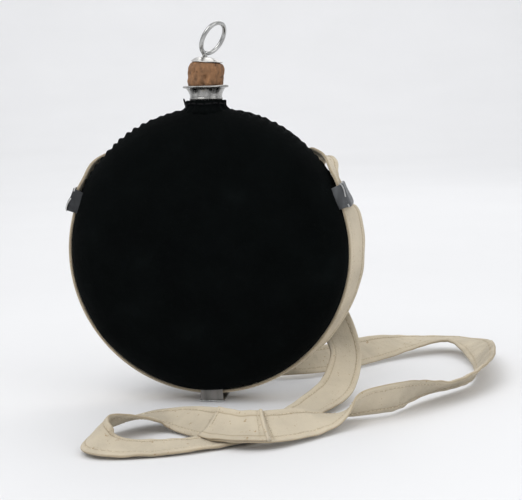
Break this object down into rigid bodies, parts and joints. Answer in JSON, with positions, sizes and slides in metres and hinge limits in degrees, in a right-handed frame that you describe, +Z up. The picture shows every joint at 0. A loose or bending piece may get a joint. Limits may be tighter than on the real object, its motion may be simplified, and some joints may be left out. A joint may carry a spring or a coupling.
{
  "type": "canteen",
  "caption": "Round metal water canteen in a wool cover, with a corked spout on top, loops round its rim and a cotton carrying sling threaded through them.",
  "frame": {"origin": "middle of the bottom sling loop's flat underside, which the canteen stands on", "axes": "+Z up along the spout, +Y from the front face to the back face, +X to the right of someone facing the front"},
  "size_m": [0.3081, 0.3125, 0.2592],
  "materials": {
    "tin_plate": "dull tinned sheet",
    "spout_metal": "worn bright",
    "loop_metal": "dark grey sheet",
    "solder": "dull",
    "wire": "bright drawn wire",
    "wool": "felted black wool",
    "thread": "black linen thread",
    "cotton": "natural cotton drill",
    "cotton_thread": "natural cotton thread",
    "cork": "natural cork"
  },
  "bodies": {
    "canteen": {"front_shell": "tin_plate", "back_shell": "tin_plate", "rim_solder": "solder", "spout": "spout_metal", "spout_solder": "solder", "sling_loop_left": "loop_metal", "sling_loop_right": "loop_metal", "sling_loop_bottom": "loop_metal", "loop_solder": "solder", "chain_staple": "wire", "front_cover": "wool", "back_cover": "wool", "cover_collar": "wool", "cover_stitching": "thread", "sling_rim": "cotton", "sling_free": "cotton", "sling_lap": "cotton", "lap_stitching": "cotton_thread"},
    "stopper": {"cork": "cork", "stopper_cap": "spout_metal", "stopper_washer": "spout_metal"},
    "ring": {"pull_ring": "wire", "stopper_nut": "loop_metal"}
  },
  "joints": [
    {"name": "stopper_pull", "type": "slide", "parent": "canteen", "child": "stopper", "axis": [0, 0, 1], "range_m": [0, 0.045]},
    {"name": "ring_turn", "type": "hinge", "parent": "stopper", "child": "ring", "pos_m": [0, 0, 0.2328], "axis": [0, 0, 1], "continuous": true}
  ]
}
